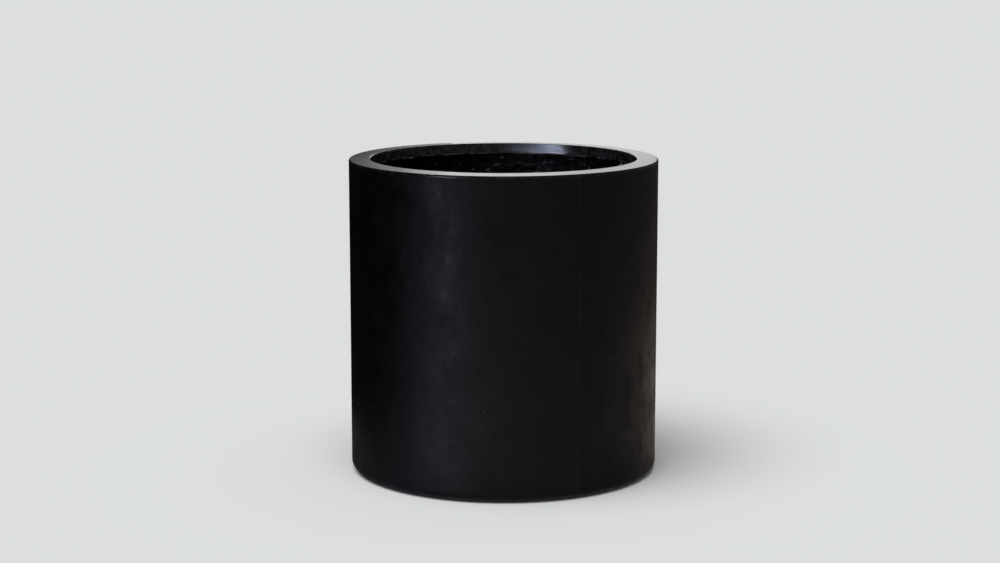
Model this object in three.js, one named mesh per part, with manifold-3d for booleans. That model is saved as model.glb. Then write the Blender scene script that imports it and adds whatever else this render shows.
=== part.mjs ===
// A round fibreglass floor planter with a broad flat rim. Two black half shells meet at upright seams and carry a rim
// ring. Inside are a stiffening disc and a lining of chopped-strand mat. Rubber pads stand it off the floor, and a
// rubber plug that lifts out closes the drain hole.
//
// Millimetres, +Z up. The origin is on the floor under the planter's axis, and the front faces -Y.

import * as THREE from "three";
import { mergeVertices } from "three/addons/utils/BufferGeometryUtils.js";
import Module from "manifold-3d";

// ---- driving dimensions --------------------------------------------------------------------------------------------

const outerRadius = 245; // the outside of the wall
const overallHeight = 500; // from the floor to the highest line of the rim

// clearances
const bondGap = 0.3; // the glue line between two bonded pieces
const discEdgeGap = 0.7; // between the disc's edge and the start of the shell's inside corner
const plugClearance = 0.4; // between the plug's ribs and the drain hole, where the real rubber is squeezed
const sumpClearance = 3; // round the plug's head, room for a fingernail

// half shells: a straight wall, a rounded foot and a flange turned inwards under it
const wallThickness = 3.5;
const footRound = 12;
const flangeReach = 60; // from the outside of the wall to the flange's inner edge
const seamAzimuth = (-62.5 * Math.PI) / 180; // from +X: the front seam is 27.5 degrees to the right of the front

// rim ring: a flat top, a lip turned down at its inner edge and a spigot that drops inside the wall
const rimWidth = 34;
const rimThickness = 4; // at the outer edge
const rimFall = 1; // the top runs down outwards by this much, so that it sheds water
const rimOuterRound = 2.5;
const rimInnerRound = 2;
const lipDepth = 18; // below the top of the rim
const lipThickness = 4;
const lipDraft = 1.5; // the lip leans in by this much at its lower edge, so that it leaves its mould
const spigotDepth = 14; // how far the spigot reaches into the wall
const spigotThickness = 3;
const coreDepth = 11; // of the filler paste in the rim's channel

// stiffening disc, and the mat laid over it and up the wall
const discThickness = 9;
const matThickness = 2.5;
const coveRadius = 15; // resin fillet where the floor turns up the wall
const upturnHeight = 40; // how far the floor's mat laps up the wall

// drain hole and plug
const drainDiameter = 30;
const plugHeadLap = 8; // the head overlaps the edge of the hole by this much
const plugHeadThickness = 2.5;
const plugHeadRound = 1.2;
const plugRibHeight = 2.4;
const plugRibProud = 0.8; // a rib stands out of the plug's body by this much
const plugRibPitch = 4.2;
const plugRibCount = 2;
const plugTipReach = 1.5; // below the underside of the disc
const plugTipTaper = 1.6;
const plugHollowDiameter = 18; // hollow from below, so that the stem gives when it is pushed in
const plugCrown = 3; // solid rubber between the hollow and the head

// rubber pads under the flange
const padDiameter = 24;
const padThickness = 2.5;
const padChamfer = 0.8;
const padCount = 4;
const firstPadAzimuth = Math.PI / 4; // from +X

// smoothness
const ringSides = 72;
const smallSides = 36;
const roundSteps = 4; // straight steps in a quarter round

// ---- places worked out from them -----------------------------------------------------------------------------------

const quarterTurn = Math.PI / 2;

const wallInside = outerRadius - wallThickness;
const bondedInside = wallInside - bondGap; // the outside of whatever is bonded into the wall
const rimInside = outerRadius - rimWidth;
const lipOutside = rimInside + lipThickness;
const spigotInside = bondedInside - spigotThickness;

const rimTop = overallHeight;
const rimOuterTop = rimTop - rimFall;
const rimSeat = rimOuterTop - rimThickness; // the half shells end here, under the rim
const spigotBottom = rimSeat - spigotDepth;
const lipBottom = rimTop - lipDepth;

const footPlane = padThickness; // the underside of the flange, carried by the pads
const flangeInside = outerRadius - flangeReach;
const flangeTop = footPlane + wallThickness;
const insideCornerRound = Math.min(footRound - wallThickness, discThickness);
const insideCornerStart = wallInside - insideCornerRound;

const discTop = flangeTop + discThickness;
const discRadius = insideCornerStart - discEdgeGap;
const floorTop = discTop + matThickness;
const liningInside = bondedInside - matThickness;
const upturnTop = floorTop + upturnHeight;

const drainRadius = drainDiameter / 2;
const plugHeadRadius = drainRadius + plugHeadLap;
const sumpRadius = plugHeadRadius + sumpClearance;
const plugRibRadius = drainRadius - plugClearance;
const plugBodyRadius = plugRibRadius - plugRibProud;
const plugTip = flangeTop - plugTipReach;
const plugTipRadius = plugBodyRadius - plugTipTaper;
const plugHollowRadius = plugHollowDiameter / 2;
const plugHollowTop = discTop - plugCrown;

const padCircle = (flangeInside + outerRadius - footRound) / 2; // the middle of the flange's flat underside

// ---- materials -----------------------------------------------------------------------------------------------------

function finish(color, roughness, metalness = 0) {
  return new THREE.MeshStandardMaterial({ color, roughness, metalness });
}

const satinGelcoat = finish(0x141416, 0.42);
const buffedGelcoat = finish(0x18181a, 0.3);
const resinMat = finish(0x0b0b0c, 0.35);
const fillerPaste = finish(0x2a2928, 0.8);
const laminate = finish(0x1c1b1a, 0.6);
const blackRubber = finish(0x161616, 0.75);

// ---- building blocks -----------------------------------------------------------------------------------------------

// Points of a round of the given radius about (r, z), from one angle to another, both ends included.
function arc(r, z, radius, fromAngle, toAngle, steps = roundSteps) {
  const points = [];
  for (let i = 0; i <= steps; i++) {
    const angle = fromAngle + ((toAngle - fromAngle) * i) / steps;
    points.push([r + radius * Math.cos(angle), z + radius * Math.sin(angle)]);
  }
  return points;
}

// A body of revolution about Z. The profile is a list of [radius, height], anticlockwise with radius to the right.
// It starts and ends on the axis, or else it is closed here.
function revolve(profile, sides = ringSides) {
  const startsOnAxis = profile[0][0] === 0;
  const outline = startsOnAxis ? profile : [...profile, profile[0]];
  const points = outline.map(([r, z]) => new THREE.Vector2(r, z));
  return new THREE.LatheGeometry(points, sides).rotateX(quarterTurn);
}

function piece(name, geometry, material) {
  const mesh = new THREE.Mesh(geometry, material);
  mesh.name = name;
  return mesh;
}

const wasm = await Module();
wasm.setup();

function toSolid(geometry) {
  const bare = geometry.clone();
  bare.deleteAttribute("normal");
  bare.deleteAttribute("uv");
  const welded = mergeVertices(bare);
  const vertProperties = welded.attributes.position.array;
  const triVerts = new Uint32Array(welded.index.array);
  return new wasm.Manifold(new wasm.Mesh({ numProp: 3, vertProperties, triVerts }));
}

function toGeometry(solid) {
  const { vertProperties, triVerts } = solid.getMesh();
  const geometry = new THREE.BufferGeometry();
  geometry.setAttribute("position", new THREE.BufferAttribute(vertProperties, 3));
  geometry.setIndex(new THREE.BufferAttribute(triVerts, 1));
  geometry.computeVertexNormals();
  return geometry;
}

// ---- the pieces ----------------------------------------------------------------------------------------------------

// Half of the shell, on one side of the upright plane that holds the axis and both seams. side is 1 or -1.
function shellHalf(name, side) {
  const whole = revolve([
    [flangeInside, footPlane],
    ...arc(outerRadius - footRound, footPlane + footRound, footRound, -quarterTurn, 0),
    [outerRadius, rimSeat],
    [wallInside, rimSeat],
    ...arc(insideCornerStart, flangeTop + insideCornerRound, insideCornerRound, 0, -quarterTurn),
    [flangeInside, flangeTop],
  ]);
  const reach = 2 * (outerRadius + overallHeight); // well past the shell in every direction
  const halfSpace = new THREE.BoxGeometry(reach, reach, reach)
    .translate(0, side * (reach / 2 + bondGap / 2), 0)
    .rotateZ(seamAzimuth);
  return piece(name, toGeometry(toSolid(whole).intersect(toSolid(halfSpace))), satinGelcoat);
}

function rimRing() {
  const geometry = revolve([
    [outerRadius, rimSeat],
    ...arc(outerRadius - rimOuterRound, rimOuterTop - rimOuterRound, rimOuterRound, 0, quarterTurn),
    ...arc(rimInside + rimInnerRound, rimTop - rimInnerRound, rimInnerRound, quarterTurn, 2 * quarterTurn),
    [rimInside - lipDraft, lipBottom],
    [lipOutside - lipDraft, lipBottom],
    [lipOutside, rimSeat],
    [spigotInside, rimSeat],
    [spigotInside, spigotBottom],
    [bondedInside, spigotBottom],
    [bondedInside, rimSeat],
  ]);
  return piece("rim_ring", geometry, buffedGelcoat);
}

function rimCore() {
  const geometry = revolve([
    [lipOutside + bondGap, rimSeat - coreDepth],
    [spigotInside - bondGap, rimSeat - coreDepth],
    [spigotInside - bondGap, rimSeat],
    [lipOutside + bondGap, rimSeat],
  ]);
  return piece("rim_core", geometry, fillerPaste);
}

function wallLining() {
  const geometry = revolve([
    [liningInside, upturnTop + bondGap],
    [bondedInside, upturnTop + bondGap],
    [bondedInside, spigotBottom - bondGap],
    [liningInside, spigotBottom - bondGap],
  ]);
  return piece("wall_lining", geometry, resinMat);
}

function baseDisc() {
  const geometry = revolve([
    [drainRadius, flangeTop],
    [discRadius, flangeTop],
    [discRadius, discTop],
    [drainRadius, discTop],
  ]);
  return piece("base_disc", geometry, laminate);
}

function baseLining() {
  const geometry = revolve([
    [sumpRadius, discTop],
    [bondedInside, discTop],
    [bondedInside, upturnTop],
    [liningInside, upturnTop],
    ...arc(liningInside - coveRadius, floorTop + coveRadius, coveRadius, 0, -quarterTurn),
    [sumpRadius, floorTop],
  ]);
  return piece("base_lining", geometry, resinMat);
}

// Rubber plug: a flat head that lies in the sump, and a hollow stem with sealing ribs that fills the drain hole.
function drainPlug() {
  const headTop = discTop + plugHeadThickness;
  const ribs = [];
  for (let rib = plugRibCount - 1; rib >= 0; rib--) {
    const ribMiddle = discTop - plugRibHeight - rib * plugRibPitch;
    ribs.push(
      [plugBodyRadius, ribMiddle - plugRibHeight / 2],
      [plugRibRadius, ribMiddle],
      [plugBodyRadius, ribMiddle + plugRibHeight / 2],
    );
  }
  const profile = [
    [0, plugHollowTop],
    [plugHollowRadius, plugHollowTop],
    [plugHollowRadius, plugTip],
    [plugTipRadius, plugTip],
    ...ribs,
    [plugBodyRadius, discTop],
    [plugHeadRadius, discTop],
    ...arc(plugHeadRadius - plugHeadRound, headTop - plugHeadRound, plugHeadRound, 0, quarterTurn, 2),
    [0, headTop],
  ];
  return piece("drain_plug", revolve(profile, smallSides), blackRubber);
}

function footPad(number) {
  const azimuth = firstPadAzimuth + ((number - 1) * 2 * Math.PI) / padCount;
  const radius = padDiameter / 2;
  const profile = [
    [0, 0],
    [radius - padChamfer, 0],
    [radius, padChamfer],
    [radius, padThickness],
    [0, padThickness],
  ];
  const pad = piece(`foot_pad_${number}`, revolve(profile, smallSides), blackRubber);
  pad.position.set(padCircle * Math.cos(azimuth), padCircle * Math.sin(azimuth), 0);
  return pad;
}

// ---- assembly ------------------------------------------------------------------------------------------------------

const planter = new THREE.Group();
planter.add(shellHalf("shell_half_right", 1), shellHalf("shell_half_left", -1));
planter.add(rimRing(), rimCore(), wallLining(), baseDisc(), baseLining(), drainPlug());
for (let number = 1; number <= padCount; number++) {
  planter.add(footPad(number));
}

export default planter;
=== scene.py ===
import math
from collections import namedtuple

import bpy
import numpy as np
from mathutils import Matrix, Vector


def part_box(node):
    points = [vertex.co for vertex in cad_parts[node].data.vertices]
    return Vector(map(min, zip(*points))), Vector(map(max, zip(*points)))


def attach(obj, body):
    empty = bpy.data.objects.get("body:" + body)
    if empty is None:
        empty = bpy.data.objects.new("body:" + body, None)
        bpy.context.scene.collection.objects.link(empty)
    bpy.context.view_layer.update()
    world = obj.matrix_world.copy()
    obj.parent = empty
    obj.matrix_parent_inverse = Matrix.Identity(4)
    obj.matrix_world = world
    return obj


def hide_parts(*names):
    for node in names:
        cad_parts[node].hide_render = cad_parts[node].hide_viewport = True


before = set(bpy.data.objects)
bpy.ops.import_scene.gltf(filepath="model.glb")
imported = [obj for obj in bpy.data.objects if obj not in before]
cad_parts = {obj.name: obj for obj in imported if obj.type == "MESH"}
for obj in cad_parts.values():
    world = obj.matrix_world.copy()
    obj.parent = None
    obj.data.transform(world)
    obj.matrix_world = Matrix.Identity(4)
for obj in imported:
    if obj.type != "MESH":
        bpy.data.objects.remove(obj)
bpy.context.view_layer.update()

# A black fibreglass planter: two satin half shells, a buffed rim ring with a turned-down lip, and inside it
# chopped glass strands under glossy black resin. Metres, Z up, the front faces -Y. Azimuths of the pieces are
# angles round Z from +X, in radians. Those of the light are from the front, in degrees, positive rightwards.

MM = 0.001
TURN = 2 * math.pi

# ---- sizes -----------------------------------------------------------------------------------------------

Ring = namedtuple("Ring", "inside outside low high")


def ring_of(node):
    """The smallest and largest radius about the axis, and the lowest and highest point, of a CAD node."""
    corners = np.array([vertex.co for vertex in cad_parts[node].data.vertices])
    radii = np.hypot(corners[:, 0], corners[:, 1])
    return Ring(radii.min(), radii.max(), corners[:, 2].min(), corners[:, 2].max())


shell = ring_of("shell_half_left")
rim = ring_of("rim_ring")
core = ring_of("rim_core")
lining = ring_of("wall_lining")
disc = ring_of("base_disc")
floor_mat = ring_of("base_lining")
plug = ring_of("drain_plug")

TOUCH = 0.1 * MM               # points nearer than this to a face are on it
BOND_GAP = 0.3 * MM            # glue line between bonded mouldings

SEAM = math.radians(-62.5)     # azimuth of the front seam; the other is opposite
SEAM_GAP = 0.1 * MM
SHELL_WALL = 3.5 * MM
FOOT_ROUND = 12 * MM
SHELL_WAVE = 0.22 * MM         # how far the hand-laid wall wanders inwards

RIM_WIDTH = 34 * MM
RIM_FALL = 1 * MM
RIM_THICKNESS = 4 * MM
RIM_OUTER_ROUND = 2.5 * MM
RIM_INNER_ROUND = 2 * MM
RIM_HOLLOW = 0.16 * MM         # how far the rim's top sags between its edges
LIP_DEPTH = 18 * MM
LIP_THICKNESS = 4 * MM
LIP_DRAFT = 1.5 * MM
LIP_EDGE_ROUND = 1.1 * MM
LIP_EDGE_WAVE = 1.1 * MM       # the trimmed lower edge of the lip isn't straight
LIP_EDGE_REACH = 7 * MM        # how far up the lip the wave of its edge is felt
LIP_BULGE = 0.05 * MM
SPIGOT_THICKNESS = 3 * MM

MAT_THICKNESS = 2.5 * MM
COVE_RADIUS = 15 * MM
STRAND_LENGTH = 48 * MM
STRAND_WIDTH = (0.6, 1.3)      # least and most, in millimetres, on each side of a strand's middle
STRAND_LIFT = (0.25, 0.8)      # in millimetres, above the lumps
STRAND_SINK = 0.2 * MM         # how deep a strand's edges lie in the resin
STRAND_BEND = 9                # radians per metre, one standard deviation
STRANDS_ON_WALL = 2300
STRANDS_ON_FLOOR = 700

CORNER_ROUND = 0.8 * MM        # of the filler's and the disc's corners

# ---- mesh helpers ----------------------------------------------------------------------------------------

rng = np.random.default_rng(20)
NOISE_CELLS = 32
noise_table = rng.random((NOISE_CELLS, NOISE_CELLS, NOISE_CELLS))


def soft_noise(points, size):
    """Smooth random values from -1 to 1 at points in space, whose lumps are about size across."""
    scaled = np.asarray(points) / size
    cell = np.floor(scaled).astype(int)
    part = scaled - cell
    part = part * part * (3 - 2 * part)
    total = 0
    for corner in np.ndindex(2, 2, 2):
        weight = np.prod(np.where(corner, part, 1 - part), axis=-1)
        index = (cell + corner) % NOISE_CELLS
        total = total + weight * noise_table[index[..., 0], index[..., 1], index[..., 2]]
    return 2 * total - 1


def layered_noise(points, *layers):
    """Several noises on top of each other. Each layer is (strength, size)."""
    return sum(strength * soft_noise(points, size) for strength, size in layers)


def around(radius, azimuth, height):
    """Points in space from radius, azimuth and height."""
    across, along = radius * np.cos(azimuth), radius * np.sin(azimuth)
    return np.stack(np.broadcast_arrays(across, along, height), axis=-1)


def full_ring(steps):
    """Azimuths all the way round."""
    return np.linspace(0, TURN, steps, endpoint=False)


def arc(radius, height, bend, start, end, steps):
    """Profile points of a round of radius bend about (radius, height), angles in degrees."""
    angles = np.radians(np.linspace(start, end, steps + 1))
    return np.stack([radius + bend * np.cos(angles), height + bend * np.sin(angles)], axis=1)


def line(start, end, steps):
    """Profile points on a straight line, without its two ends."""
    share = np.linspace(0, 1, steps + 1)[1:-1, None]
    return np.asarray(start) * (1 - share) + np.asarray(end) * share


def profile(*runs):
    """One profile from runs of points and single points, each of them (radius, height)."""
    return np.concatenate([np.atleast_2d(run) for run in runs])


def mesh_piece(name, points, faces, crease=40):
    """An object from points and faces, smooth except where faces meet at more than crease degrees."""
    mesh = bpy.data.meshes.new(name)
    mesh.from_pydata([tuple(point) for point in points], [], faces)
    mesh.polygons.foreach_set("use_smooth", [True] * len(mesh.polygons))
    mesh.update()
    mesh.set_sharp_from_angle(angle=math.radians(crease))
    piece = bpy.data.objects.new(name, mesh)
    bpy.context.scene.collection.objects.link(piece)
    return piece


def grid_faces(rows, columns, first=0, wrap_rows=False, wrap_columns=False):
    """Quads between the points of a grid that is stored row by row."""
    faces = []
    for row in range(rows if wrap_rows else rows - 1):
        for column in range(columns if wrap_columns else columns - 1):
            next_row = (row + 1) % rows
            next_column = (column + 1) % columns
            faces.append((
                first + row * columns + column,
                first + next_row * columns + column,
                first + next_row * columns + next_column,
                first + row * columns + next_column,
            ))
    return faces


def turned(outline, azimuths, shape, closed_ring=True):
    """Points and faces of a profile turned about the axis. shape changes its radii and heights by azimuth."""
    radii = np.repeat(outline[None, :, 0], len(azimuths), axis=0)
    heights = np.repeat(outline[None, :, 1], len(azimuths), axis=0)
    turns = np.repeat(azimuths[:, None], len(outline), axis=1)
    radii, heights = shape(radii, heights, turns)
    points = around(radii, turns, heights).reshape(-1, 3)
    rows, columns = len(azimuths), len(outline)
    faces = grid_faces(rows, columns, wrap_rows=closed_ring, wrap_columns=True)
    if not closed_ring:
        faces.append(tuple(range(columns)))
        faces.append(tuple(range(rows * columns - 1, (rows - 1) * columns - 1, -1)))
    return points, faces


def solid_of_revolution(name, outline, center, steps):
    """A piece whose profile starts and ends on its own upright axis, which goes through center."""
    azimuths = full_ring(steps)
    inner = outline[1:-1]
    ring_points = around(inner[None, :, 0], azimuths[:, None], inner[None, :, 1]).reshape(-1, 3)
    points = np.concatenate([ring_points, [[0, 0, outline[0][1]], [0, 0, outline[-1][1]]]]) + center
    columns = len(inner)
    faces = grid_faces(steps, columns, wrap_rows=True)
    start, end = len(points) - 2, len(points) - 1
    for step in range(steps):
        ahead = (step + 1) % steps
        faces.append((start, ahead * columns, step * columns))
        faces.append((end, step * columns + columns - 1, ahead * columns + columns - 1))
    return mesh_piece(name, points, faces)


# ---- material helpers ------------------------------------------------------------------------------------


class Nodes:
    """Short calls for the nodes that a tree is built from."""

    def __init__(self, tree):
        self.tree = tree

    def add(self, kind, **settings):
        """A new node."""
        node = self.tree.nodes.new(kind)
        for setting, value in settings.items():
            setattr(node, setting, value)
        return node

    def feed(self, socket, value):
        """Links value to an input, or sets the input to it."""
        if isinstance(value, bpy.types.NodeSocket):
            self.tree.links.new(value, socket)
        else:
            socket.default_value = value

    def apply(self, kind, operation, values, output=0):
        """The result of a math node of either kind."""
        node = self.add(kind, operation=operation)
        for socket, value in zip(node.inputs, values):
            self.feed(socket, value)
        return node.outputs[output]

    def math(self, operation, *values):
        """A number from numbers."""
        return self.apply("ShaderNodeMath", operation, values)

    def vector(self, operation, *values, output=0):
        """A vector from vectors, or a number where output is 1."""
        return self.apply("ShaderNodeVectorMath", operation, values, output)

    def product(self, *values):
        """All the numbers multiplied together."""
        result = values[0]
        for value in values[1:]:
            result = self.math("MULTIPLY", result, value)
        return result

    def scale(self, vector, factor):
        """A vector or colour times a number."""
        node = self.add("ShaderNodeVectorMath", operation="SCALE")
        self.feed(node.inputs[0], vector)
        self.feed(node.inputs["Scale"], factor)
        return node.outputs[0]


class Look(Nodes):
    """A node-based material."""

    def __init__(self, name):
        self.material = bpy.data.materials.new(name)
        self.material.use_nodes = True
        super().__init__(self.material.node_tree)
        self.shader = self.tree.nodes["Principled BSDF"]
        self.place = self.add("ShaderNodeTexCoord").outputs["Object"]

    def join(self, x, y, z):
        """A vector from its three parts."""
        node = self.add("ShaderNodeCombineXYZ")
        for socket, value in zip(node.inputs, (x, y, z)):
            self.feed(socket, value)
        return node.outputs[0]

    def split(self, vector):
        """The three parts of a vector."""
        node = self.add("ShaderNodeSeparateXYZ")
        self.feed(node.inputs[0], vector)
        return node.outputs

    def radius(self, x, y):
        """Distance from the axis."""
        return self.vector("LENGTH", self.join(x, y, 0), output=1)

    def noise(self, scale, detail=3, roughness=0.55, place=None, distortion=0):
        """Cloudy noise, about 0.3 to 0.7, with scale lumps in a metre."""
        node = self.add("ShaderNodeTexNoise")
        self.feed(node.inputs["Vector"], place or self.place)
        node.inputs["Scale"].default_value = scale
        node.inputs["Detail"].default_value = detail
        node.inputs["Roughness"].default_value = roughness
        node.inputs["Distortion"].default_value = distortion
        return node.outputs["Fac"]

    def cells(self, scale, output="Distance", place=None):
        """Cells round scattered points, with scale cells in a metre."""
        node = self.add("ShaderNodeTexVoronoi")
        self.feed(node.inputs["Vector"], place or self.place)
        node.inputs["Scale"].default_value = scale
        return node.outputs[output]

    def span(self, value, low, high, to_low=0, to_high=1, smooth=True):
        """value mapped from low..high to to_low..to_high, and held there outside."""
        node = self.add("ShaderNodeMapRange", interpolation_type="SMOOTHSTEP" if smooth else "LINEAR")
        self.feed(node.inputs["Value"], value)
        for socket, end in zip(("From Min", "From Max", "To Min", "To Max"), (low, high, to_low, to_high)):
            self.feed(node.inputs[socket], end)
        return node.outputs["Result"]

    def fade(self, value, low, high):
        """1 up to low, falling to 0 at high."""
        return self.span(value, low, high, 1, 0)

    def dots(self, scale, full, gone, channel, common):
        """Small round dots in the few cells whose random colour is above common in one channel."""
        dot = self.fade(self.cells(scale), full, gone)
        chosen = self.span(self.split(self.cells(scale, "Color"))[channel], common, common + 0.02)
        return self.product(dot, chosen)

    def blend(self, share, first, second):
        """A colour that goes from first to second."""
        node = self.add("ShaderNodeMix", data_type="RGBA")
        self.feed(node.inputs[0], share)
        self.feed(node.inputs[6], first)           # the node's sockets for colours are these
        self.feed(node.inputs[7], second)
        return node.outputs[2]

    def ramp(self, value, low, high, stops):
        """A smooth run of greys through stops, which are (value, tone)."""
        node = self.add("ShaderNodeValToRGB")
        node.color_ramp.interpolation = "EASE"
        self.feed(node.inputs[0], self.span(value, low, high, smooth=False))
        elements = node.color_ramp.elements
        while len(elements) < len(stops):
            elements.new(0.5)
        for element, stop in zip(elements, stops):
            element.position = (stop[0] - low) / (high - low)
        for element, stop in zip(elements, stops):
            element.color = grey(stop[1])
        return node.outputs[0]

    def bump(self, height, depth, strength=1, under=None):
        """A normal from heights, on top of the normal under."""
        node = self.add("ShaderNodeBump")
        node.inputs["Strength"].default_value = strength
        node.inputs["Distance"].default_value = depth
        self.feed(node.inputs["Height"], height)
        if under:
            self.feed(node.inputs["Normal"], under)
        return node.outputs["Normal"]

    def finish(self, color, roughness, normal=None, **constants):
        """The material, with its main inputs fed."""
        self.feed(self.shader.inputs["Base Color"], color)
        self.feed(self.shader.inputs["Roughness"], roughness)
        if normal:
            self.feed(self.shader.inputs["Normal"], normal)
        for name, value in constants.items():
            self.shader.inputs[name.replace("_", " ")].default_value = value
        return self.material


def grey(level, tint=(1, 1, 1)):
    """A colour of about that lightness."""
    return (level * tint[0], level * tint[1], level * tint[2], 1)


# ---- materials -------------------------------------------------------------------------------------------

COOL = (0.94, 0.98, 1.1)
WARM = (1.08, 1.0, 0.92)


def satin_gelcoat(name, level, gloss_shift):
    """Black gelcoat with cloudy dull marks, orange peel, a few specks and a dressed seam."""
    look = Look(name)
    clouds = look.noise(18, detail=7, roughness=0.66, distortion=0.3)
    haze = look.noise(5.5, detail=2)
    cloudy = look.product(look.span(clouds, 0.42, 0.72), look.span(haze, 0.35, 0.65))
    drawn_down = look.vector("MULTIPLY", look.place, (1, 1, 0.16))
    wiped = look.noise(60, place=drawn_down)

    # The seam was sanded by hand, so it shows more in some places than in others. A nick is under the rim.
    across_seam = (-math.sin(SEAM), math.cos(SEAM), 0)
    off_seam = look.math("ABSOLUTE", look.vector("DOT_PRODUCT", look.place, across_seam, output=1))
    dressed = look.fade(off_seam, 0.5 * MM, 1.2 * MM)
    patchy = look.span(look.noise(9, detail=2), 0.38, 0.6, 0.25, 1)
    seam = look.product(dressed, patchy)
    under_rim = look.span(look.split(look.place)[2], 491.5 * MM, 493 * MM)
    nick = look.product(look.fade(off_seam, 1.0 * MM, 2.2 * MM), under_rim)
    specks = look.dots(34, full=0.02, gone=0.035, channel=0, common=0.93)

    color = look.blend(cloudy, grey(level, COOL), grey(level * 1.9, COOL))
    color = look.blend(seam, color, grey(level + 0.009, WARM))
    color = look.blend(specks, color, grey(0.09, WARM))
    color = look.blend(nick, color, grey(0.025, WARM))

    rough = look.span(clouds, 0.34, 0.66, 0.30 + gloss_shift, 0.56 + gloss_shift, smooth=False)
    rough = look.math("ADD", rough, look.span(wiped, 0.3, 0.7, -0.02, 0.03))
    rough = look.math("ADD", rough, look.product(seam, 0.12))

    peel = look.bump(look.noise(330, detail=2), 0.05 * MM, 0.35)
    waves = look.bump(look.noise(17, detail=5, roughness=0.6), 2.2 * MM, under=peel)
    ridge = look.bump(seam, 0.12 * MM, 0.6, under=waves)
    return look.finish(color, rough, ridge)


def buffed_gelcoat():
    """The rim's gelcoat, sanded and buffed in rings, waxed on top, worn along its edges, with a few chips."""
    look = Look("buffed_gelcoat")
    x, y, z = look.split(look.place)
    radius = look.radius(x, y)

    # Streaks left by the buffing, which ran round the rim.
    azimuth = look.math("ARCTAN2", y, x)
    across = look.math("SUBTRACT", radius, z)      # grows outwards over the top and downwards on the lip

    def rings(per_metre, per_radian, **settings):
        place = look.join(look.product(across, per_metre), look.product(azimuth, per_radian), 0)
        return look.noise(1, place=place, **settings)

    broad = rings(900, 3, detail=3, roughness=0.6)
    fine = rings(3400, 7, detail=2, roughness=0.5)
    streaks = look.product(look.span(broad, 0.4, 0.75), look.span(fine, 0.3, 0.8, 0.4, 1))
    smears = look.noise(26, detail=4, roughness=0.6)

    # Wear and chips along the two edges, and the lip's lower edge, where the gelcoat was cut away.
    mouth = shell.outside - RIM_WIDTH
    edge_out = look.span(radius, rim.outside - 1.6 * MM, rim.outside - 0.2 * MM)
    edge_in = look.fade(radius, mouth + 0.2 * MM, mouth + 1.4 * MM)
    edges = look.math("MAXIMUM", edge_out, edge_in)
    worn = look.product(edges, look.span(look.noise(120), 0.45, 0.62))
    chips = look.product(edges, look.span(look.noise(75, detail=1), 0.76, 0.79))
    dust = look.dots(70, full=0.02, gone=0.05, channel=1, common=0.94)
    lip_bottom = rim.high - LIP_DEPTH
    low_on_lip = look.fade(z, lip_bottom + 0.8 * MM, lip_bottom + 3 * MM)
    trimmed = look.product(low_on_lip, look.span(look.noise(55), 0.4, 0.6))

    color = look.blend(streaks, grey(0.0015), grey(0.006, WARM))
    color = look.blend(worn, color, grey(0.012))
    color = look.blend(trimmed, color, grey(0.06, WARM))
    color = look.blend(dust, color, grey(0.1, WARM))
    color = look.blend(chips, color, grey(0.12))

    rough = look.span(streaks, 0, 1, 0.11, 0.17)
    rough = look.math("ADD", rough, look.span(smears, 0.4, 0.7, 0, 0.015))
    on_side = look.product(look.span(radius, rim.outside - 1 * MM, rim.outside - 0.5 * MM),
                           look.fade(z, rim.high - 3 * MM, rim.high - 2 * MM))
    rough = look.math("ADD", rough, look.product(on_side, 0.08))

    grooves = look.bump(fine, 0.01 * MM, 0.12)
    smooth_waves = look.bump(look.noise(30, detail=1), 0.03 * MM, 0.1, under=grooves)
    waxed = look.span(z, rim.high - 3.5 * MM, rim.high - RIM_FALL, 0.25, 0.6)
    look.feed(look.shader.inputs["Coat Weight"], waxed)
    return look.finish(color, rough, smooth_waves, Coat_Roughness=0.18)


def resin_mat():
    """Glossy black resin over bundles of glass strands, which show as welts and here and there as threads."""
    look = Look("resin_mat")
    lumpy = look.noise(90, detail=4, roughness=0.6)

    # Threads and welts are both pulled out of line by a slow drift, as strands that fell at random are.
    drift = look.scale(look.join(look.noise(24), look.noise(27), look.noise(30)), 0.03)
    strewn = look.vector("ADD", look.place, drift)
    threads = look.cells(210, place=strewn)
    lying = look.noise(135, detail=1, roughness=0.5, place=look.vector("MULTIPLY", strewn, (0.5, 0.5, 1)))
    welts = look.span(lying, 0.48, 0.68)
    dry = look.span(look.noise(13), 0.56, 0.7)

    color = look.blend(look.fade(threads, 0.1, 0.5), grey(0.0012), grey(0.0022, WARM))
    color = look.blend(dry, color, grey(0.0035, WARM))
    rough = look.math("ADD", look.span(lumpy, 0.3, 0.7, 0.13, 0.17), look.product(dry, 0.06))
    fibres = look.bump(threads, 0.03 * MM, 0.15)
    bundles = look.bump(welts, 2.4 * MM, under=fibres)
    return look.finish(color, rough, bundles)


def laminate():
    """Dull pressed laminate with a faint weave of strands."""
    look = Look("laminate")
    weave = look.cells(260, place=look.vector("MULTIPLY", look.place, (1, 2.4, 1)))
    stains = look.noise(14, detail=4)
    color = look.blend(look.span(stains, 0.35, 0.7), grey(0.013), grey(0.03, WARM))
    color = look.blend(look.span(weave, 0.2, 0.6), color, grey(0.02))
    return look.finish(color, look.span(stains, 0.3, 0.7, 0.5, 0.7), look.bump(weave, 0.2 * MM, 0.5))


def filler_paste():
    """Matt grey-black filler with small air holes."""
    look = Look("filler_paste")
    holes = look.cells(420)
    color = look.blend(look.noise(60), grey(0.024, WARM), grey(0.045, WARM))
    rough = look.span(look.noise(90, detail=2), 0.3, 0.7, 0.72, 0.88)
    return look.finish(color, rough, look.bump(look.span(holes, 0.05, 0.25), 0.4 * MM, 0.6))


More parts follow.
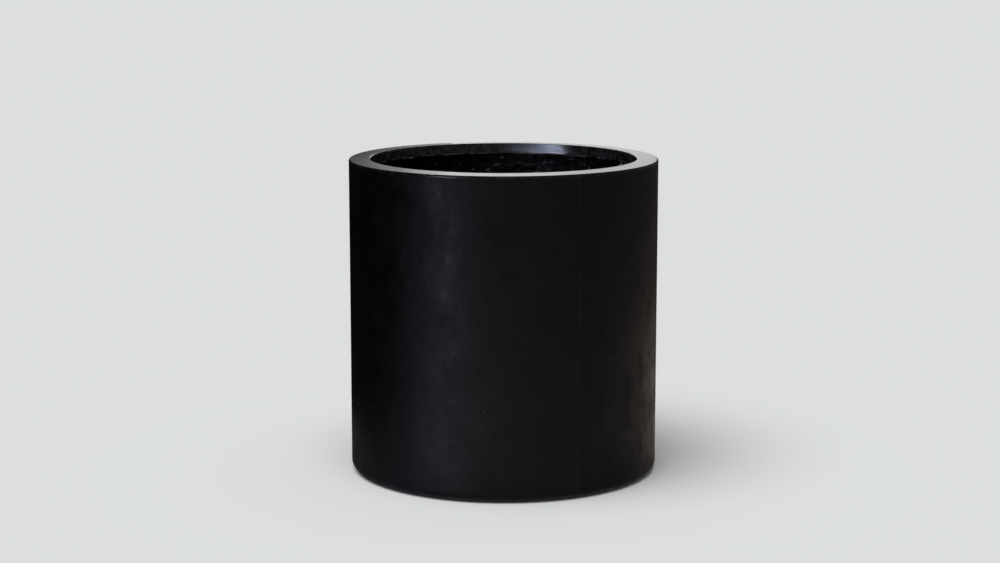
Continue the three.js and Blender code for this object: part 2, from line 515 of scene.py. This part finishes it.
def black_rubber():
    """Matt moulded rubber with a fine grain and a dusty bloom."""
    look = Look("black_rubber")
    bloom = look.span(look.noise(70, detail=4), 0.45, 0.75)
    color = look.blend(bloom, grey(0.011), grey(0.026, WARM))
    rough = look.span(bloom, 0, 1, 0.62, 0.85)
    return look.finish(color, rough, look.bump(look.noise(1600, detail=2), 0.06 * MM, 0.5))


# ---- the pieces ------------------------------------------------------------------------------------------


def fit(piece, body, material, node):
    """Finishes a piece: its look, the body that it rides on and the node that it stands for."""
    piece.data.materials.append(material)
    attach(piece, body)
    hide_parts(node)


def half_shell(name, node, start, material):
    """Half of the outer shell, from the seam at start onwards: its wall, rounded foot and flange."""
    foot_radius, foot_height = shell.outside - FOOT_ROUND, shell.low + FOOT_ROUND
    inside_round = FOOT_ROUND - SHELL_WALL
    wall_inside = shell.outside - SHELL_WALL
    flange_top = shell.low + SHELL_WALL
    outline = profile(
        (shell.inside, shell.low),
        line((shell.inside, shell.low), (foot_radius, shell.low), steps=8),
        arc(foot_radius, foot_height, FOOT_ROUND, -90, 0, steps=12),
        line((shell.outside, foot_height), (shell.outside, shell.high), steps=96),
        (shell.outside, shell.high),
        (wall_inside, shell.high),
        arc(wall_inside - inside_round, flange_top + inside_round, inside_round, 0, -90, steps=6),
        (shell.inside, flange_top),
    )
    margin = SEAM_GAP / 2 / shell.outside
    by_seam = np.array([0, 0.3, 0.8, 1.5, 2.5]) * MM / shell.outside
    azimuths = start + np.concatenate([
        margin + by_seam,
        np.linspace(margin, math.pi - margin, 181)[2:-2],
        math.pi - margin - by_seam[::-1],
    ])
    wave_size = 0.11
    seam_reach, foot_reach, rim_reach = 0.03, 0.04, 0.03       # the wall doesn't wander so near to these
    seam_round, seam_round_width = 0.12 * MM, 0.3 * MM

    def shape(radii, heights, turns):
        from_seam = np.minimum(turns - start, math.pi - (turns - start)) * shell.outside
        waves = 0.5 + 0.5 * soft_noise(around(radii, turns, heights), wave_size)
        sag = SHELL_WAVE * waves * np.clip(from_seam / seam_reach, 0.25, 1)
        rounded = seam_round * np.exp(-from_seam / seam_round_width)
        on_wall = (radii > shell.outside - 1 * MM) & (heights > foot_height)
        steady = (np.clip((heights - foot_height) / foot_reach, 0, 1)
                  * np.clip((shell.high - heights) / rim_reach, 0, 1))
        return radii - on_wall * (steady * sag + rounded), heights

    piece = mesh_piece(name, *turned(outline, azimuths, shape, closed_ring=False))
    fit(piece, "planter", material, node)


def rim_skin():
    """The rim's ring: a broad top with rounded edges, a lip turned down inside and a spigot in the wall."""
    mouth = shell.outside - RIM_WIDTH
    outer_top = rim.high - RIM_FALL
    seat = outer_top - RIM_THICKNESS
    lip_bottom = rim.high - LIP_DEPTH
    lip_back = mouth + LIP_THICKNESS
    lip_in = mouth - LIP_DRAFT
    lip_out = lip_back - LIP_DRAFT
    spigot_outside = shell.outside - SHELL_WALL - BOND_GAP
    spigot_inside = spigot_outside - SPIGOT_THICKNESS
    outside_round, mouth_round = rim.outside - RIM_OUTER_ROUND, mouth + RIM_INNER_ROUND
    edge_middle = lip_bottom + LIP_EDGE_ROUND
    outline = profile(
        (rim.outside, seat),
        arc(outside_round, outer_top - RIM_OUTER_ROUND, RIM_OUTER_ROUND, 0, 90, steps=10),
        line((outside_round, outer_top), (mouth_round, rim.high), steps=24),
        arc(mouth_round, rim.high - RIM_INNER_ROUND, RIM_INNER_ROUND, 90, 180, steps=8),
        line((mouth, rim.high - RIM_INNER_ROUND), (lip_in, lip_bottom), steps=14)[:-1],
        arc(lip_in + LIP_EDGE_ROUND, edge_middle, LIP_EDGE_ROUND, 180, 270, steps=5),
        arc(lip_out - LIP_EDGE_ROUND, edge_middle, LIP_EDGE_ROUND, 270, 360, steps=4),
        (lip_back, seat),
        (spigot_inside, seat),
        (spigot_inside, rim.low),
        (spigot_outside, rim.low),
        (spigot_outside, seat),
    )

    def shape(radii, heights, turns):
        place = around(radii, turns, heights)
        wave = layered_noise(around(rim.outside, turns, 0), (1, 0.045), (0.5, 0.014), (0.25, 0.005))
        by_edge = np.clip((lip_bottom + LIP_EDGE_REACH - heights) / LIP_EDGE_REACH, 0, 1)
        by_edge = by_edge * (radii < lip_back + TOUCH)
        on_top = (heights > outer_top - 0.2 * MM) & (radii > mouth_round) & (radii < outside_round)
        hollow = RIM_HOLLOW * (1 + soft_noise(place, 0.05)) / 2
        bulge = LIP_BULGE * soft_noise(place, 0.06) * by_edge
        return radii + bulge, heights + LIP_EDGE_WAVE * wave * by_edge - hollow * on_top

    piece = mesh_piece("rim_skin", *turned(outline, full_ring(720), shape))
    fit(piece, "planter", materials["buffed"], "rim_ring")


def lumps(place):
    """How far the resin stands proud of the CAD solid's face at places in space, always under 1 mm."""
    return layered_noise(place, (0.45, 0.03), (0.25, 0.009), (0.15, 0.004)) * MM


def strands(count, path, u_range, v_range):
    """Chopped strands as thin closed ridges. path turns flat places u, v and a lift into points in space."""
    steps, sides = 6, 3
    u0 = rng.uniform(*u_range, count)[:, None]
    v0 = rng.uniform(*v_range, count)[:, None]
    heading = rng.uniform(0, TURN, count)[:, None]
    bend = rng.normal(0, STRAND_BEND, count)[:, None]
    share = np.linspace(-0.5, 0.5, steps)[None, :]
    reach = share * STRAND_LENGTH * rng.uniform(0.7, 1.1, count)[:, None]
    turn = heading + bend * reach
    u, v = u0 + reach * np.cos(turn), v0 + reach * np.sin(turn)
    width = rng.uniform(*STRAND_WIDTH, count)[:, None] * MM * (1 - 0.85 * np.abs(2 * share) ** 6)
    lift = rng.uniform(*STRAND_LIFT, count)[:, None] * MM * (1 - 0.9 * np.abs(2 * share) ** 4)
    across_u, across_v = -np.sin(turn) * width, np.cos(turn) * width
    rows = [
        path(u - across_u, v - across_v, -STRAND_SINK),
        path(u, v, lift),
        path(u + across_u, v + across_v, -STRAND_SINK),
    ]
    faces = []
    for strand in range(count):
        first = strand * steps * sides
        last = first + (steps - 1) * sides
        faces += grid_faces(steps, sides, first, wrap_columns=True)
        faces += [(first, first + 1, first + 2), (last + 2, last + 1, last)]
    return np.stack(rows, axis=2).reshape(-1, 3), faces


def strewn_mat(name, node, sheet, ridges):
    """A piece of the mat from the points and faces of its sheet and of the strands on it."""
    points = np.concatenate([sheet[0], ridges[0]])
    faces = sheet[1] + [tuple(len(sheet[0]) + i for i in face) for face in ridges[1]]
    piece = mesh_piece(name, points, faces, crease=180)
    fit(piece, "planter", materials["mat"], node)


def mat_wall():
    """The mat on the wall. Its places are distances along the wall and heights."""
    inner, outer = lining.inside, lining.outside
    outline = profile(
        (outer, lining.low), (outer, lining.high), (inner, lining.high),
        line((inner, lining.high), (inner, lining.low), steps=120), (inner, lining.low),
    )

    def shape(radii, heights, turns):
        inside = radii < inner + TOUCH
        from_ends = np.minimum(heights - lining.low, lining.high - heights)
        free = np.clip(from_ends / (6 * MM), 0, 1)
        return radii - inside * free * lumps(around(inner, turns, heights)), heights

    def path(u, v, lift):
        azimuth = u / inner
        height = np.clip(v, lining.low + 1 * MM, lining.high - 1 * MM)
        return around(inner - lumps(around(inner, azimuth, height)) - lift, azimuth, height)

    sheet = turned(outline, full_ring(480), shape)
    ridges = strands(STRANDS_ON_WALL, path, (0, TURN * inner), (lining.low, lining.high))
    strewn_mat("mat_wall", "wall_lining", sheet, ridges)


def mat_floor():
    """The mat on the floor, coved and turned up at the wall. Its places are x and y."""
    outer = floor_mat.outside
    upturn_inside = outer - MAT_THICKNESS
    flat_outside = upturn_inside - COVE_RADIUS
    top = floor_mat.low + MAT_THICKNESS
    outline = profile(
        (floor_mat.inside, floor_mat.low), (outer, floor_mat.low), (outer, floor_mat.high),
        (upturn_inside, floor_mat.high),
        line((upturn_inside, floor_mat.high), (upturn_inside, top + COVE_RADIUS), steps=10),
        arc(flat_outside, top + COVE_RADIUS, COVE_RADIUS, 0, -90, steps=10),
        line((flat_outside, top), (floor_mat.inside, top), steps=70),
        (floor_mat.inside, top),
    )

    def shape(radii, heights, turns):
        on_floor = (heights > top - TOUCH) & (heights < top + TOUCH)
        from_sump = np.clip((radii - floor_mat.inside) / (5 * MM), 0, 1)
        return radii, heights + on_floor * from_sump * lumps(around(radii, turns, heights))

    def path(u, v, lift):
        radius = np.clip(np.hypot(u, v), floor_mat.inside + 2 * MM, flat_outside)
        place = around(radius, np.arctan2(v, u), top)
        place[..., 2] += lumps(place) + lift
        return place

    sheet = turned(outline, full_ring(300), shape)
    ridges = strands(STRANDS_ON_FLOOR, path, (-flat_outside, flat_outside), (-flat_outside, flat_outside))
    strewn_mat("mat_floor", "base_lining", sheet, ridges)


def rim_filler():
    """The filler between lip and spigot, with dips in its lower face."""
    dip, dip_size = 0.5 * MM, 0.012
    core_in, core_out = core.inside + CORNER_ROUND, core.outside - CORNER_ROUND
    outline = profile(
        arc(core_in, core.low + CORNER_ROUND, CORNER_ROUND, 180, 270, steps=3),
        line((core_in, core.low), (core_out, core.low), steps=8),
        arc(core_out, core.low + CORNER_ROUND, CORNER_ROUND, 270, 360, steps=3),
        (core.outside, core.high), (core.inside, core.high),
    )

    def shape(radii, heights, turns):
        under = heights < core.low + TOUCH
        return radii, heights + under * dip * (1 + soft_noise(around(radii, turns, heights), dip_size))

    piece = mesh_piece("rim_filler", *turned(outline, full_ring(240), shape))
    fit(piece, "planter", materials["filler"], "rim_core")


def base_board():
    """The stiff disc that carries the soil, rough underneath."""
    dip, dip_size = 0.3 * MM, 0.02
    disc_in, disc_out = disc.inside + CORNER_ROUND, disc.outside - CORNER_ROUND
    outline = profile(
        arc(disc_in, disc.low + CORNER_ROUND, CORNER_ROUND, 180, 270, steps=3),
        line((disc_in, disc.low), (disc_out, disc.low), steps=20),
        arc(disc_out, disc.low + CORNER_ROUND, CORNER_ROUND, 270, 360, steps=3),
        arc(disc_out, disc.high - CORNER_ROUND, CORNER_ROUND, 0, 90, steps=3),
        arc(disc_in, disc.high - CORNER_ROUND, CORNER_ROUND, 90, 180, steps=3),
    )

    def shape(radii, heights, turns):
        under = heights < disc.low + TOUCH
        return radii, heights + under * dip * (1 + soft_noise(around(radii, turns, heights), dip_size))

    piece = mesh_piece("base_board", *turned(outline, full_ring(180), shape))
    fit(piece, "planter", materials["laminate"], "base_disc")


def plug_rubber():
    """The drain plug: a head with a round groove, and a hollow stem with two sealing ribs."""
    head_top, head_under = plug.high, disc.high
    head_edge, under_edge = 1.2 * MM, 0.3 * MM
    middle_radius = 4 * MM
    groove_outside, groove_inside = plug.outside - 5 * MM, plug.outside - 6.8 * MM
    groove_depth, groove_slope = 0.5 * MM, 0.4 * MM
    groove_bottom = head_top - groove_depth
    stem, rib = 13.8 * MM, 14.6 * MM           # radii
    rib_height, rib_pitch = 2.4 * MM, 4.2 * MM
    rib_edge, rib_half_edge = 0.2 * MM, 0.3 * MM
    tip = stem - 1.6 * MM
    tip_edge = 0.4 * MM
    hollow, hollow_edge, crown = 9 * MM, 1 * MM, 3 * MM
    hollow_top = head_under - crown
    ribs = []
    for number in (1, 0):
        middle = head_under - rib_height - number * rib_pitch
        ribs += [
            (stem, middle - rib_height / 2),
            (rib - rib_edge, middle - rib_half_edge),
            (rib, middle),
            (rib - rib_edge, middle + rib_half_edge),
            (stem, middle + rib_height / 2),
        ]
    outline = profile(
        (0, hollow_top), (hollow - hollow_edge, hollow_top), (hollow, hollow_top - hollow_edge),
        (hollow, plug.low + tip_edge), (hollow + tip_edge, plug.low),
        (tip - tip_edge, plug.low), (tip, plug.low + tip_edge),
        np.array(ribs),
        (stem, head_under), (plug.outside - under_edge, head_under),
        arc(plug.outside - head_edge, head_top - head_edge, head_edge, 0, 90, steps=6),
        (groove_outside, head_top), (groove_outside - groove_slope, groove_bottom),
        (groove_inside + groove_slope, groove_bottom), (groove_inside, head_top),
        (middle_radius, head_top), (0, head_top),
    )
    piece = solid_of_revolution("plug_rubber", outline, (0, 0, 0), steps=96)
    fit(piece, "plug", materials["rubber"], "drain_plug")


def foot_pad(number):
    """A round rubber pad, chamfered, with a shallow recess in its face."""
    node = f"foot_pad_{number}"
    low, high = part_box(node)
    middle = (low + high) / 2
    radius = (high.x - low.x) / 2
    top = high.z
    chamfer, recess, top_edge = 0.8 * MM, 0.25 * MM, 0.2 * MM
    recess_inside, recess_outside = 0.62 * radius, 0.68 * radius
    outline = profile(
        (0, recess), (recess_inside, recess), (recess_outside, 0),
        (radius - chamfer, 0), (radius - 0.3 * chamfer, 0.25 * chamfer), (radius, chamfer),
        (radius, top - top_edge), (radius - top_edge, top), (0, top),
    )
    piece = solid_of_revolution(f"pad_{number}", outline, (middle.x, middle.y, 0), steps=64)
    fit(piece, "planter", materials["rubber"], node)


materials = {
    "left": satin_gelcoat("satin_gelcoat_left", level=0.0009, gloss_shift=0.0),
    "right": satin_gelcoat("satin_gelcoat_right", level=0.0006, gloss_shift=0.01),
    "buffed": buffed_gelcoat(),
    "mat": resin_mat(),
    "laminate": laminate(),
    "filler": filler_paste(),
    "rubber": black_rubber(),
}

half_shell("shell_right_skin", "shell_half_right", SEAM, materials["right"])
half_shell("shell_left_skin", "shell_half_left", SEAM + math.pi, materials["left"])
rim_skin()
mat_wall()
mat_floor()
rim_filler()
base_board()
plug_rubber()
for pad_number in range(1, 5):
    foot_pad(pad_number)

# ---- floor and background --------------------------------------------------------------------------------

BACKGROUND = (0.716, 0.730, 0.737, 1)
DAYLIGHT = 0.3                 # of the room round the planter, on whatever isn't glossy
FLOOR_RADIUS = 1.6
FLOOR_FADE = (0.3, 0.9)        # the floor fades into the background between these distances from the axis


def direction(azimuth, elevation):
    """A unit vector."""
    a, e = math.radians(azimuth), math.radians(elevation)
    return np.array([math.sin(a) * math.cos(e), -math.cos(a) * math.cos(e), math.sin(e)])


def pale_floor():
    """A round floor that takes the planter's shadow and fades into the background."""
    steps = 64
    points = [(0, 0, 0), *around(FLOOR_RADIUS, full_ring(steps), 0)]
    faces = [(0, 1 + step, 1 + (step + 1) % steps) for step in range(steps)]
    floor = mesh_piece("pale_floor", points, faces)
    look = Look("pale_floor")
    x, y = look.split(look.place)[:2]
    look.feed(look.shader.inputs["Alpha"], look.fade(look.radius(x, y), *FLOOR_FADE))
    floor.data.materials.append(look.finish(BACKGROUND, 0.9, Specular_IOR_Level=0.0))


def room():
    """Soft daylight for the planter; the eye and gloss see the pale background instead."""
    world = bpy.data.worlds.new("room")
    bpy.context.scene.world = world
    world.use_nodes = True
    world.cycles.sampling_method = "NONE"
    nodes = Nodes(world.node_tree)
    nodes.tree.nodes.clear()
    rays = nodes.add("ShaderNodeLightPath").outputs
    seen = nodes.math("MAXIMUM", rays["Is Camera Ray"], rays["Is Glossy Ray"])
    seen = nodes.math("MAXIMUM", seen, rays["Is Transmission Ray"])
    light = nodes.add("ShaderNodeBackground")
    nodes.feed(light.inputs["Color"], (1, 1, 1, 1))
    nodes.feed(light.inputs["Strength"], DAYLIGHT)
    pale = nodes.add("ShaderNodeBackground")
    nodes.feed(pale.inputs["Color"], BACKGROUND)
    mix = nodes.add("ShaderNodeMixShader")
    for socket, value in zip(mix.inputs, (seen, light.outputs[0], pale.outputs[0])):
        nodes.feed(socket, value)
    nodes.feed(nodes.add("ShaderNodeOutputWorld").inputs["Surface"], mix.outputs[0])


# ---- the dim room that the gloss mirrors -----------------------------------------------------------------

# Tones of the room and of the floor near the planter, as (azimuth, tone) from the back by the left, the front
# and the right to the back.
ROOM_TONES = [
    (-180, 0.006), (-95, 0.006), (-72, 0.02), (-52, 0.10), (-28, 0.11), (10, 0.13), (60, 0.09), (110, 0.07),
    (180, 0.05),
]
FLOOR_TONES = [
    (-180, 0.006), (-95, 0.008), (-76, 0.05), (-58, 0.20), (-40, 0.38), (-22, 0.42), (-4, 0.28), (20, 0.22),
    (60, 0.20), (110, 0.17), (180, 0.06),
]
LEFT_TINT = (1.02, 0.945, 1.25, 1)         # the cold light of the window, on the left
FRONT_TINT = (1.03, 0.99, 1.05, 1)
RIGHT_TINT = (1.14, 0.99, 0.96, 1)
RIGHT_GLOW = (0.392, 0.322, 0.288, 1)      # of the pale floor on the right and behind
LEFT_GLOW = (0.115, 0.104, 0.098, 1)       # of the pale floor close by on the left

# The white backdrop behind the planter, which the rim mirrors, as (height, tone).
BACKDROP_TONES = [(0.5, 0.1), (0.57, 1.0), (0.95, 1.0), (1.15, 0.25)]
BACKDROP_RIGHT = 0.77                      # how much of the tone is left on the right
# The screen that dims the backdrop on the left, as (how far to the right of the axis, tone).
SCREEN_TONES = [(-0.40, 0.01), (-0.29, 0.17), (-0.22, 0.33), (-0.15, 0.68), (-0.10, 1.0)]
SCREEN_DISTANCE = 0.75
SCREEN_LEFT = -1.5

# The card's section, as (radius, height), from under the planter outwards, up and back over the top.
CARD_FLOOR = 2 * MM
CARD_TOP = 1.25
CARD_CROWN = 1.8
CARD_SECTION = [
    (0.2, CARD_FLOOR), (0.45, CARD_FLOOR), (0.8, CARD_FLOOR), (1.7, CARD_FLOOR),
    (1.7, CARD_TOP), (1.1, CARD_CROWN), (0.1, CARD_CROWN),
]


def card_look():
    """Emission by place: dark on the left, a glow low by the planter, a white backdrop and its dim screen."""
    look = Look("card_tones")
    x, y, z = look.split(look.place)
    side = look.product(look.math("ARCTAN2", x, look.product(y, -1)), 180 / math.pi)
    radius = look.radius(x, y)
    on_ground = look.fade(z, 4 * MM, 30 * MM)

    # The room, and the paler floor near the planter.
    near = look.product(look.fade(radius, 0.8, 1.6), look.span(radius, 0.2, 0.5), on_ground)
    tone = look.blend(near, look.ramp(side, -180, 180, ROOM_TONES), look.ramp(side, -180, 180, FLOOR_TONES))
    tint = look.blend(look.span(side, -45, -10), LEFT_TINT, FRONT_TINT)
    tint = look.blend(look.span(side, 48, 90), tint, RIGHT_TINT)
    tone = look.vector("MULTIPLY", tone, tint)

    # The glows: a wide warm one on the right, which ends short of the back, and a close one on the left.
    right = look.product(look.span(side, 72, 122), look.span(side, 148, 166, 1, 0.15), on_ground,
                         look.fade(radius, 1.0, 1.6))
    left = look.product(look.fade(side, -75, -50), look.fade(radius, 0.3, 0.66), on_ground)
    tone = look.blend(right, tone, RIGHT_GLOW)
    tone = look.blend(left, tone, LEFT_GLOW)

    # The backdrop is a part of the card's own wall; the screen is a flat card in front of it.
    at_back = look.product(look.span(look.math("ABSOLUTE", side), 164, 168), look.span(z, 0.5, 0.52))
    backdrop = look.scale(look.ramp(z, 0.5, 1.2, BACKDROP_TONES), look.span(x, 0.05, 0.25, 1, BACKDROP_RIGHT))
    tone = look.blend(at_back, tone, backdrop)
    on_screen = look.product(look.math("COMPARE", y, SCREEN_DISTANCE, 1 * MM), look.span(z, 0.45, 0.53))
    screen = look.scale(look.ramp(x, -0.5, 0, SCREEN_TONES), look.span(z, 0.55, 0.61, 0.4, 1))
    tone = look.blend(on_screen, tone, screen)

    glow = look.add("ShaderNodeEmission")
    look.feed(glow.inputs["Color"], tone)
    look.feed(look.tree.nodes["Material Output"].inputs["Surface"], glow.outputs[0])
    return look.material


def dark_cards():
    """Cards round the planter, seen only by gloss: they stand for the dim room that the black mirrors."""
    steps = 120
    points = []
    for azimuth in np.linspace(-180, 180, steps, endpoint=False):
        x, y = direction(azimuth, 0)[:2]
        points += [(x * radius, y * radius, height) for radius, height in CARD_SECTION]
    faces = grid_faces(steps, len(CARD_SECTION), wrap_rows=True)
    first = len(points)
    screen_right = SCREEN_TONES[-1][0]
    screen = ((SCREEN_LEFT, 0), (screen_right, 0), (screen_right, CARD_TOP), (SCREEN_LEFT, CARD_TOP))
    points += [(x, SCREEN_DISTANCE, z) for x, z in screen]
    faces.append(tuple(range(first, first + 4)))
    cards = mesh_piece("dark_cards", points, faces)
    cards.data.materials.append(card_look())
    cards.visible_camera = cards.visible_diffuse = False
    cards.visible_shadow = cards.visible_transmission = False


# ---- lamps -----------------------------------------------------------------------------------------------

WINDOW_COLOR = (0.68, 0.75, 1.0)
SHEEN_COLOR = (0.68, 0.70, 1.0)
RIM_LAMP_HEIGHT = 0.514
MOUTH_LAMP_HEIGHT = 0.56
OVERHEAD = 0.78                # how much the overhead lamp adds on a level surface
OVERHEAD_SPREAD = 50           # degrees
OVERHEAD_FROM = (-35, 70)      # azimuth and elevation

# A lamp that faces the axis at the height target, from distance away. radiance is the brightness of its face.
Softbox = namedtuple("Softbox", "name azimuth elevation distance target width height radiance color")
SOFTBOXES = [
    # the upright sheen on the wall
    Softbox("window_low", -43, -2, 8, 0.4, 2.5, 1.3, 2.7, SHEEN_COLOR),
    # the glow on the lip and on the resin behind it, from close over the rim, which lies behind these lamps
    Softbox("over_rim_left", -67, 0, 0.222, RIM_LAMP_HEIGHT, 0.098, 0.025, 13.5, WINDOW_COLOR),
    Softbox("over_rim_middle", -43, 0, 0.222, RIM_LAMP_HEIGHT, 0.09, 0.025, 5.0, WINDOW_COLOR),
    Softbox("over_rim_front", -19, 0, 0.222, RIM_LAMP_HEIGHT, 0.09, 0.025, 3.0, WINDOW_COLOR),
    Softbox("over_mouth", -62, 12, 0.2, MOUTH_LAMP_HEIGHT, 0.12, 0.06, 22.0, WINDOW_COLOR),
]


def hang(name, lamp, facing):
    """Puts a lamp in the scene, shining against the direction facing."""
    holder = bpy.data.objects.new(name, lamp)
    bpy.context.scene.collection.objects.link(holder)
    holder.rotation_euler = Vector(facing).to_track_quat("Z", "Y").to_euler()
    return holder


def hang_softbox(box):
    """The area lamp of a row of the table."""
    lamp = bpy.data.lights.new(box.name, "AREA")
    lamp.shape = "RECTANGLE"
    lamp.size, lamp.size_y = box.width, box.height
    lamp.energy = math.pi * box.width * box.height * box.radiance
    lamp.color = box.color
    lamp.cycles.use_multiple_importance_sampling = False   # gloss meets the cards before it meets the lamp
    facing = direction(box.azimuth, box.elevation)
    holder = hang(box.name, lamp, facing)
    holder.location = facing * box.distance + np.array([0, 0, box.target])
    holder.visible_camera = False


def hang_overhead():
    """Soft light from above, spread evenly over the floor."""
    lamp = bpy.data.lights.new("overhead", "SUN")
    lamp.energy = OVERHEAD * math.pi
    lamp.angle = math.radians(OVERHEAD_SPREAD)
    holder = hang("overhead", lamp, direction(*OVERHEAD_FROM))
    holder.visible_glossy = False


pale_floor()
room()
dark_cards()
for softbox in SOFTBOXES:
    hang_softbox(softbox)
hang_overhead()

# ---- camera ----------------------------------------------------------------------------------------------

FRAME_WIDTH = 1000             # pixels of the photograph's frame
FOCAL_PIXELS = 2150
SENSOR = 36                    # millimetres
EYE = (-0.0056, -3.392, 0.8811)
LOOKING_DOWN = 9.72            # degrees

camera = bpy.data.cameras.new("camera")
camera.sensor_width = SENSOR
camera.lens = FOCAL_PIXELS / FRAME_WIDTH * SENSOR
camera.clip_end = 100
eye = bpy.data.objects.new("camera", camera)
eye.location = EYE
eye.rotation_euler = (math.radians(90 - LOOKING_DOWN), 0, 0)
bpy.context.scene.collection.objects.link(eye)
bpy.context.scene.camera = eye
bpy.context.scene.view_settings.view_transform = "Standard"
